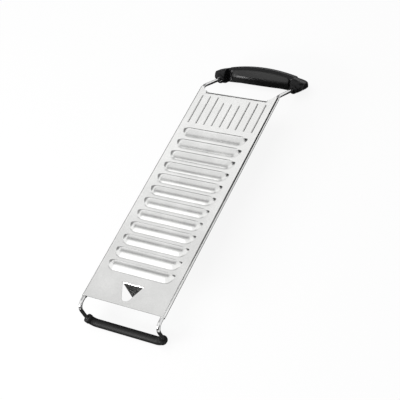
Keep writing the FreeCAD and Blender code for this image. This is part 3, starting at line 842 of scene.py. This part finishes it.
def build_shell(name, upper, material):
    """One shell; the lower one ends where the rounded underside of the lobes reaches the parting."""
    reach = BOW_HALF + 1
    if not upper:
        rise = KEEL_RADIUS - PARTING + BOW_SOLE
        reach = BOW_HALF - KEEL_RUN + sqrt(KEEL_RADIUS ** 2 - rise ** 2)
    stations = [x for x in bow_stations() if abs(x) < reach]
    if not upper:
        stations = [-reach] + stations + [reach]
    return loft(name, [bow_ring(x, upper) for x in stations], material, SHELL_SHARP)


def build_boss(side, material):
    """The collar that the wire enters, on the front of a lobe."""
    turns = [2 * pi * k / BOSS_SIDES for k in range(BOSS_SIDES)]
    rings = []
    for y, radius in BOSS_PROFILE:
        rings.append([handle_point(side * LEG_SIDE + radius * cos(a), y, radius * sin(a)) for a in turns])
    return loft("boss", rings, material, COLLAR_SHARP)


def pad_face(height, bottom, top):
    """How thick the pad is at a height: a foot, a soft ridge and a face that leans back to the seam."""
    if height < PAD_RIDGE:
        share = (PAD_RIDGE - height) / (PAD_RIDGE - bottom)
        thick = PAD_CROWN - (PAD_CROWN - PAD_FOOT) * share
    else:
        share = (height - PAD_RIDGE) / (BOW_CROWN - PAD_SEAM - PAD_RIDGE)
        thick = PAD_CROWN - (PAD_CROWN - PAD_EDGE) * share
    # The ridge and both edges are rounded
    near_ridge = max(1 - abs(height - PAD_RIDGE) / RIDGE_ROUND, 0.0)
    near_edge = max(1 - min(height - bottom, top - height) / EDGE_ROUND, 0.0)
    return thick - RIDGE_DROP * near_ridge ** 2 - near_edge ** EDGE_POWER * min(thick, EDGE_ROUND)


def build_pad(material):
    """The ridged grip pad, with its top edge under the arch of the crown."""
    stations = [PAD_HALF * sin(radians(a)) for a in spread(-90, 90, 4.5)]
    rings = []
    for x in stations:
        share = min(abs(x) / PAD_HALF, 1.0)
        arch = BOW_CROWN - BOW_ARCH + sqrt(BOW_ARCH ** 2 - x ** 2)
        into_corner = max(share * PAD_HALF - PAD_HALF + PAD_CORNER, 0)
        corner = PAD_CORNER * (1 - sqrt(max(1 - into_corner ** 2 / PAD_CORNER ** 2, 0.0)))
        top = arch - PAD_SEAM - corner
        bottom = PAD_BOTTOM + corner
        bow = x ** 2 / (2 * PAD_BOW)
        section = []
        for i in range(PAD_STEPS + 1):
            z = bottom + (top - bottom) * (i / PAD_STEPS)
            thick = max(pad_face(z, bottom, top) - bow - corner * 0.5, PAD_LEAST)
            section.append((GRIP_FRONT - thick, z))
        section.append((GRIP_FRONT + PAD_SINK, top))
        section.append((GRIP_FRONT + PAD_SINK, bottom))
        rings.append([handle_point(x, y, z) for y, z in section])
    return loft("pad", rings, material, PAD_SHARP)


# Stage, in metres

FLOOR_REACH = 6.0
FLOOR_DROP = 0.0002
CARD_MIDDLE = (0.0, 0.0, 0.03)
WHITE = (1, 1, 1, 1)


def build_floor(material):
    """A plain floor just under the object."""
    corners = [(x * FLOOR_REACH, y * FLOOR_REACH, 0) for x, y in ((-1, -1), (1, -1), (1, 1), (-1, 1))]
    mesh = bpy.data.meshes.new("floor")
    mesh.from_pydata(corners, [], [(0, 1, 2, 3)])
    floor = bpy.data.objects.new("floor", mesh)
    floor.location.z = -FLOOR_DROP
    bpy.context.collection.objects.link(floor)
    mesh.materials.append(material)


def backdrop_share(finish):
    """1 for the rays that should see the plain white background, and 0 for the others."""
    seen = finish.add("ShaderNodeLightPath", output="Is Camera Ray")
    mirrored = finish.add("ShaderNodeLightPath", output="Is Glossy Ray")
    through = finish.add("ShaderNodeLightPath", output="Is Transmission Ray")
    return (seen + mirrored + through).clamped()


def floor_finish(shadow_share):
    """White floor: lit by its own glow for the camera, except for the share that shows shadows."""
    material, finish = new_finish("floor_white")
    lit = finish.add("ShaderNodeBsdfDiffuse", None, {"Color": (0.9, 0.9, 0.9, 1)})
    glow = finish.add("ShaderNodeEmission", None, {"Color": WHITE, "Strength": 1.0})
    share = backdrop_share(finish) * (1 - shadow_share)
    surface(finish, finish.add("ShaderNodeMixShader", None, {0: share, 1: lit, 2: glow}))
    return material


def build_world(level):
    """Plain white surroundings for the camera and mirrors, weaker for matt surfaces."""
    world = bpy.data.worlds.new("studio")
    bpy.context.scene.world = world
    world.use_nodes = True
    finish = Finish(world.node_tree)
    share = backdrop_share(finish)
    strength = share + (1 - share) * level
    background = finish.add("ShaderNodeBackground", None, {"Color": WHITE, "Strength": strength})
    surface(finish, background, "ShaderNodeOutputWorld")


def area_light(name, spot, aim, size, power):
    """A soft rectangular light that faces a point."""
    data = bpy.data.lights.new(name, "AREA")
    data.shape = "RECTANGLE"
    data.size, data.size_y = size
    data.energy = power
    light = bpy.data.objects.new(name, data)
    light.location = spot
    light.rotation_euler = (Vector(aim) - Vector(spot)).to_track_quat("-Z", "Y").to_euler()
    bpy.context.collection.objects.link(light)
    return light


def card_finish(name, level):
    """A studio card of one plain tone, which reflections see at that level."""
    material, finish = new_finish(name)
    surface(finish, finish.add("ShaderNodeEmission", None, {"Color": WHITE, "Strength": level}))
    return material


def studio_card(name, points, columns, level):
    """A card that stands beside the object and that only reflections see."""
    mesh = bpy.data.meshes.new(name)
    mesh.from_pydata(points, [], grid_faces(len(points) // columns, columns))
    card = bpy.data.objects.new(name, mesh)
    card.visible_camera = False
    card.visible_diffuse = False
    card.visible_shadow = False
    card.visible_transmission = False
    bpy.context.collection.objects.link(card)
    mesh.materials.append(card_finish(name, level))


def round_card(name, azimuths, heights, radius, level):
    """A card curved round the object, between two azimuths from +X and two elevations, in degrees."""
    turns = spread(*azimuths, 10.0)
    points = []
    for height in spread(*heights, 10.0):
        out = radius * cos(radians(height))
        up = CARD_MIDDLE[2] + radius * sin(radians(height))
        for turn in turns:
            points.append((CARD_MIDDLE[0] + out * cos(radians(turn)),
                           CARD_MIDDLE[1] + out * sin(radians(turn)), up))
    studio_card(name, points, len(turns), level)


def flat_card(name, low, high, level):
    """A level card between two corners at one height."""
    points = [(x, y, low[2]) for y in (low[1], high[1]) for x in (low[0], high[0])]
    studio_card(name, points, 2, level)


# The camera stands where the photograph was taken from. Its axes are given in the plate frame.
CAMERA_SPOT = (598.31, -390.54, 889.70)
CAMERA_RIGHT = (0.856016, 0.421599, -0.299150)
CAMERA_DOWN = (0.181091, -0.786574, -0.590345)
CAMERA_AHEAD = (-0.484193, 0.451172, -0.749668)
FOCAL_PIXELS = 1090.09
IMAGE_PIXELS = 400
SENSOR = 36.0
CLIP_END = 50.0


def build_camera():
    """The photograph's camera, as solved from the pattern of the plate."""
    data = bpy.data.cameras.new("camera")
    data.sensor_width = SENSOR
    data.sensor_fit = "HORIZONTAL"
    data.lens = FOCAL_PIXELS * SENSOR / IMAGE_PIXELS
    data.clip_end = CLIP_END
    camera = bpy.data.objects.new("camera", data)
    origin = plate_point(0, 0, 0)
    axes = [plate_point(*axis) - origin for axis in (CAMERA_RIGHT, CAMERA_DOWN, CAMERA_AHEAD)]
    right, down, ahead = [axis.normalized() for axis in axes]
    turn = Matrix((right, -down, -ahead)).transposed().to_4x4()
    camera.matrix_world = Matrix.Translation(plate_point(*CAMERA_SPOT)) @ turn
    bpy.context.collection.objects.link(camera)
    bpy.context.scene.camera = camera


# Properties, operators and panel


class SlicerSizes(bpy.types.PropertyGroup):
    lip_height: FloatProperty(name="Lip height", default=3.0, min=1.0, max=4.0,
                              description="Height of a louver's lip over the sheet, in mm")
    rib_height: FloatProperty(name="Rib height", default=0.5, min=0.1, max=1.0,
                              description="Height of a rib over the sheet, in mm")
    rib_width: FloatProperty(name="Rib width", default=1.9, min=0.8, max=3.0,
                             description="Width of a rib, in mm")
    wire_radius: FloatProperty(name="Wire radius", description="Radius of the frame wire, in mm",
                               default=2.0, min=1.0, max=2.0)


class SlicerLook(bpy.types.PropertyGroup):
    steel: FloatVectorProperty(name="Sheet", description="Colour of the stainless sheet", subtype="COLOR",
                               default=(0.94, 0.94, 0.93), min=0, max=1)
    steel_roughness: FloatProperty(name="Sheet roughness", default=0.2, min=0, max=1, subtype="FACTOR",
                                   description="Roughness of the stainless sheet")
    wire: FloatVectorProperty(name="Wire", description="Colour of the polished wire", subtype="COLOR",
                              default=(0.8, 0.8, 0.8), min=0, max=1)
    wire_roughness: FloatProperty(name="Wire roughness", default=0.12, min=0, max=1, subtype="FACTOR",
                                  description="Roughness of the polished wire")
    shell: FloatVectorProperty(name="Shell", description="Colour of the handle's shells", subtype="COLOR",
                               default=(0.008, 0.008, 0.0085), min=0, max=1)
    grip: FloatVectorProperty(name="Grip", description="Colour of the grip pad", subtype="COLOR",
                              default=(0.006, 0.006, 0.006), min=0, max=1)
    rubber: FloatVectorProperty(name="Foot", description="Colour of the rubber foot", subtype="COLOR",
                                default=(0.006, 0.006, 0.006), min=0, max=1)


class SlicerStage(bpy.types.PropertyGroup):
    overhead: FloatProperty(name="Overhead light", default=14.0, min=0, subtype="POWER",
                            description="Power of the soft light above")
    ridge: FloatProperty(name="Ridge light", default=9.0, min=0, subtype="POWER",
                         description="Power of the narrow light that lines the grip's ridge")
    louver: FloatProperty(name="Louver light", default=0.25, min=0, subtype="POWER",
                          description="Power of the small light that whitens the louvers")
    sky: FloatProperty(name="Sky", description="Strength of the plain surroundings on matt surfaces",
                       default=0.35, min=0, max=2)
    shadow: FloatProperty(name="Shadow", description="How strongly the floor shows the object's shadow",
                          default=0.1, min=0, max=1)


class SLICER_OT_plate(bpy.types.Operator):
    """Build the louvred sheet with its curls, ribs, hem, opening and tongue"""
    bl_idname = "slicer.plate"
    bl_label = "Slicing plate"

    def execute(self, context):
        material = steel_sheet(context.scene.slicer_look)
        skin = face_up(build_sheet(context.scene.slicer_sizes, material))
        plate = cut_opening(thicken(skin, SHEET), material)
        join(plate, [build_tongue(material)])
        shade(plate, SHEET_SHARP)
        finished(plate, "slicing_plate_visual", "stainless_sheet", "slicing_plate")
        return {"FINISHED"}


class SLICER_OT_wire(bpy.types.Operator):
    """Build the bent wire of the frame"""
    bl_idname = "slicer.wire"
    bl_label = "Wire frame"

    def execute(self, context):
        wire = build_wire(context.scene.slicer_sizes, steel_wire(context.scene.slicer_look))
        finished(wire, "wire_frame_visual", "stainless_wire", "wire_frame")
        return {"FINISHED"}


class SLICER_OT_foot(bpy.types.Operator):
    """Build the rubber sleeve on the foot"""
    bl_idname = "slicer.foot"
    bl_label = "Foot sleeve"

    def execute(self, context):
        material = moulded("foot_rubber", context.scene.slicer_look.rubber, roughness=0.6,
                           grain_scale=900, grain_depth=0.0002, gloss=0.3)
        finished(build_sleeve(material), "foot_sleeve_visual", "foot_rubber", "foot_sleeve")
        return {"FINISHED"}


class SLICER_OT_handle(bpy.types.Operator):
    """Build the two shells of the bow handle and the collars of the wires"""
    bl_idname = "slicer.handle"
    bl_label = "Handle shells"

    def execute(self, context):
        material = moulded("handle_plastic", context.scene.slicer_look.shell, roughness=0.27,
                           grain_scale=1400, grain_depth=0.00005, gloss=0.2)
        upper = build_shell("upper", True, material)
        lower = build_shell("lower", False, material)
        join(lower, [build_boss(side, material) for side in (-1, 1)])
        shade(lower, SHELL_SHARP)
        finished(upper, "handle_upper_visual", "handle_plastic", "handle_upper_shell")
        finished(lower, "handle_lower_visual", "handle_plastic", "handle_lower_shell")
        return {"FINISHED"}


class SLICER_OT_pad(bpy.types.Operator):
    """Build the grip pad in the front of the bow"""
    bl_idname = "slicer.pad"
    bl_label = "Grip pad"

    def execute(self, context):
        material = moulded("grip_rubber", context.scene.slicer_look.grip, roughness=0.34,
                           grain_scale=1100, grain_depth=0.00008, gloss=0.5)
        finished(build_pad(material), "grip_pad_visual", "grip_rubber", "grip_pad")
        return {"FINISHED"}


class SLICER_OT_stage(bpy.types.Operator):
    """Build the floor, the lights, the surroundings and the camera"""
    bl_idname = "slicer.stage"
    bl_label = "Stage"

    def execute(self, context):
        stage = context.scene.slicer_stage
        build_floor(floor_finish(stage.shadow))
        build_world(stage.sky)
        overhead = area_light("overhead", spot=(-0.5, 0.0, 1.6), aim=(0, 0, 0),
                              size=(1.2, 1.6), power=stage.overhead)
        overhead.visible_glossy = False
        area_light("ridge_light", spot=(-0.54, -0.83, 0.39), aim=(0, 0.17, 0.02),
                   size=(0.7, 0.14), power=stage.ridge)
        area_light("louver_light", spot=(-0.6, -0.5, 1.05), aim=(0, -0.08, 0.04),
                   size=(0.55, 0.4), power=stage.louver)
        # Dark cards line the curls, the ribs and the hem; grey ones tone the sheet and the wire
        round_card("card_back_left", azimuths=(95, 175), heights=(-2, 24), radius=1.2, level=0.22)
        round_card("card_hem", azimuths=(98, 128), heights=(-4, 36), radius=1.1, level=0.05)
        round_card("card_back_right", azimuths=(20, 82), heights=(12, 68), radius=1.2, level=0.02)
        round_card("card_low_right", azimuths=(2, 82), heights=(-2, 12), radius=1.2, level=0.6)
        round_card("card_front", azimuths=(215, 350), heights=(-2, 30), radius=1.6, level=0.06)
        # Painted shade: this dark card under the plate stands in for the shadowed floor there, which the
        # tongue, the wire and the sleeve reflect
        flat_card("card_shade_below", (-0.3, -0.3, 0.001), (0.09, 0.25, 0.001), level=0.03)
        flat_card("card_foot", (-0.55, 0.0, 0.55), (0.1, 0.28, 0.55), level=0.84)
        flat_card("card_top", (-0.75, -0.12, 0.62), (0.0, 0.16, 0.62), level=0.35)
        build_camera()
        context.scene.view_settings.view_transform = "Standard"
        return {"FINISHED"}


OPERATORS = (SLICER_OT_plate, SLICER_OT_wire, SLICER_OT_foot,
             SLICER_OT_handle, SLICER_OT_pad, SLICER_OT_stage)


class SLICER_PT_panel(bpy.types.Panel):
    """The slicer's pieces and sizes"""
    bl_idname = "SLICER_PT_panel"
    bl_label = "Hand slicer"
    bl_space_type = "VIEW_3D"
    bl_region_type = "UI"
    bl_category = "Slicer"

    def draw(self, context):
        scene = context.scene
        for group in (scene.slicer_sizes, scene.slicer_look, scene.slicer_stage):
            box = self.layout.box()
            for name in group.bl_rna.properties.keys():
                if name not in ("rna_type", "name"):
                    box.prop(group, name)
        for operator in OPERATORS:
            self.layout.operator(operator.bl_idname)


GROUPS = {"slicer_sizes": SlicerSizes, "slicer_look": SlicerLook, "slicer_stage": SlicerStage}


def register():
    """Registers the groups, operators and panel, and gives each scene its settings."""
    for group in GROUPS.values():
        bpy.utils.register_class(group)
    for name, group in GROUPS.items():
        setattr(bpy.types.Scene, name, PointerProperty(type=group))
    for kind in (*OPERATORS, SLICER_PT_panel):
        bpy.utils.register_class(kind)


def unregister():
    for kind in reversed((*OPERATORS, SLICER_PT_panel)):
        bpy.utils.unregister_class(kind)
    for name, group in GROUPS.items():
        delattr(bpy.types.Scene, name)
        bpy.utils.unregister_class(group)


def main():
    """Registers the add-on, then builds every piece and the stage."""
    register()
    for operator in (bpy.ops.slicer.plate, bpy.ops.slicer.wire, bpy.ops.slicer.foot,
                     bpy.ops.slicer.handle, bpy.ops.slicer.pad, bpy.ops.slicer.stage):
        operator()


if __name__ == "__main__":
    main()
